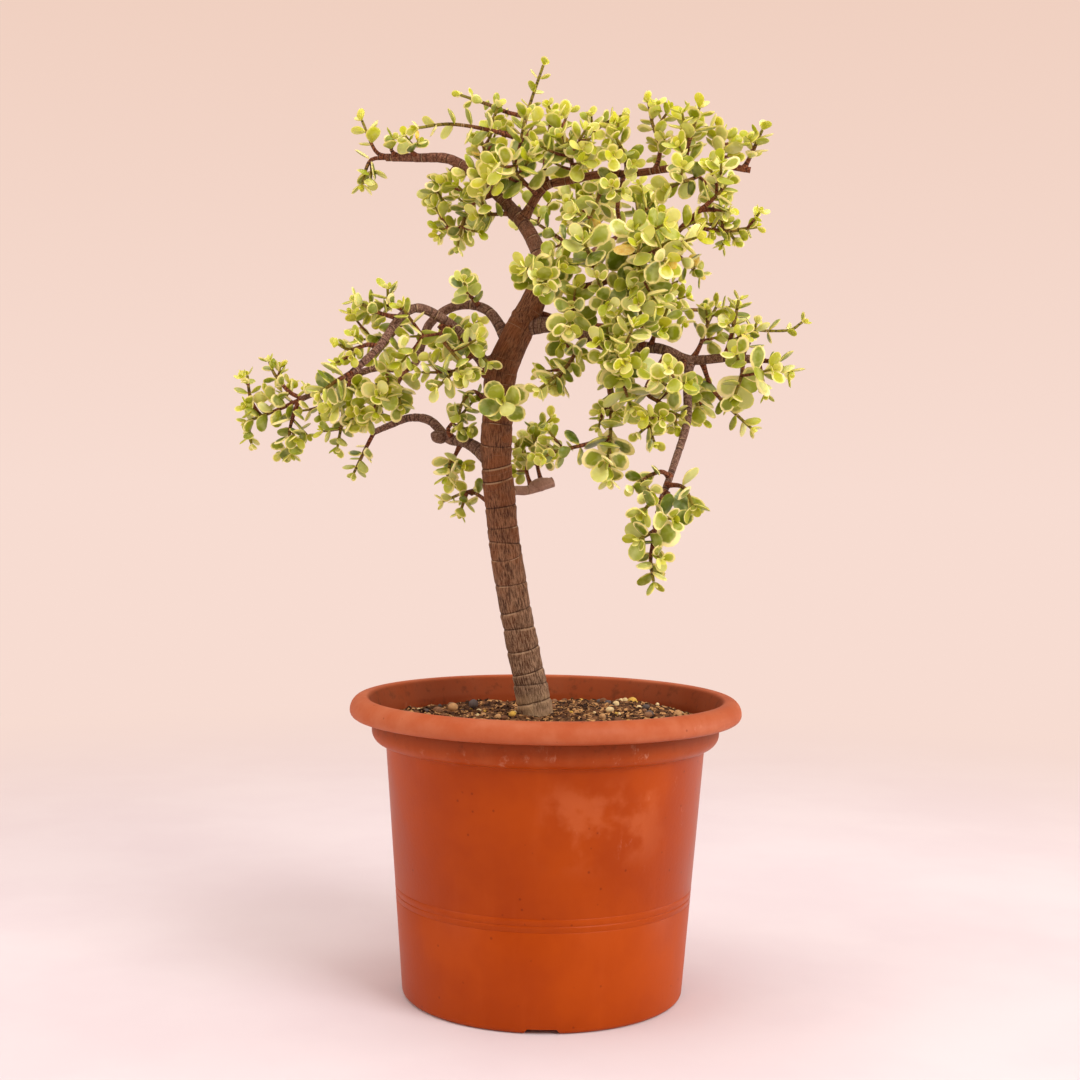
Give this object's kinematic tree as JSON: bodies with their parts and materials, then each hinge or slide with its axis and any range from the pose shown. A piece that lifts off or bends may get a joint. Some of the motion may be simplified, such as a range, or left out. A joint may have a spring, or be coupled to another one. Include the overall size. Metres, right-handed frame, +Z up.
{
  "type": "potted elephant bush",
  "caption": "Small succulent tree with a leaning ringed trunk, spreading limbs and round cream-edged leaves, growing in potting mix in a tapered round plastic pot with a rolled lip.",
  "frame": {"origin": "middle of the pot's foot, on the surface that the pot stands on", "axes": "+Z up; +X to the right and +Y away from a viewer who faces the plant with the drainage notch and the hanging branch towards them"},
  "size_m": [0.4145, 0.2801, 0.6415],
  "materials": {
    "terracotta_plastic": "satin moulded plastic, scuffed, with chalky water marks",
    "potting_mix": "rough, crumbly, matt",
    "pebble": "matt stone",
    "old_bark": "rough grey-brown bark with ring scars",
    "young_bark": "smooth reddish-brown bark",
    "leaf": "smooth fleshy leaf, green with a cream edge"
  },
  "bodies": {
    "root": {"limb_arch_left": "young_bark", "limb_back": "young_bark", "limb_hanging": "young_bark", "limb_high_right": "young_bark", "limb_left": "young_bark", "limb_low_back": "young_bark", "limb_low_left": "young_bark", "limb_right": "young_bark", "limb_upper_left": "young_bark", "limb_upper_right": "young_bark", "pot": "terracotta_plastic", "shoot_arch_end": "leaf", "shoot_back_a": "leaf", "shoot_back_b": "leaf", "shoot_back_c": "leaf", "shoot_back_d": "leaf", "shoot_big_rosette": "leaf", "shoot_crook": "leaf", "shoot_crown_front": "leaf", "shoot_crown_left": "leaf", "shoot_crown_left_high": "leaf", "shoot_crown_right": "leaf", "shoot_crown_tip": "leaf", "shoot_curved": "leaf", "shoot_hanging_end": "leaf", "shoot_hanging_mid": "leaf", "shoot_high_right_end": "leaf", "shoot_high_right_side": "leaf", "shoot_inner_rosette": "leaf", "shoot_knuckle": "leaf", "shoot_left_end": "leaf", "shoot_left_hang": "leaf", "shoot_left_mid": "leaf", "shoot_left_top": "leaf", "shoot_left_up": "leaf", "shoot_low_back": "leaf", "shoot_low_back_right": "leaf", "shoot_low_left_end": "leaf", "shoot_orange": "leaf", "shoot_right_back": "leaf", "shoot_right_end": "leaf", "shoot_right_up": "leaf", "shoot_rosette_top": "leaf", "shoot_round_leaf": "leaf", "shoot_thin": "leaf", "shoot_top_centre": "leaf", "shoot_top_mid": "leaf", "shoot_top_pale": "leaf", "shoot_top_right_a": "leaf", "shoot_top_right_b": "leaf", "shoot_top_right_c": "leaf", "shoot_trunk_right": "leaf", "shoot_trunk_rosette": "leaf", "shoot_upper_left_down": "leaf", "shoot_upper_left_tip": "leaf", "soil": "potting_mix", "stone_grey": "pebble", "stone_tan": "pebble", "stone_yellow": "pebble", "trunk": "old_bark"}
  },
  "joints": []
}
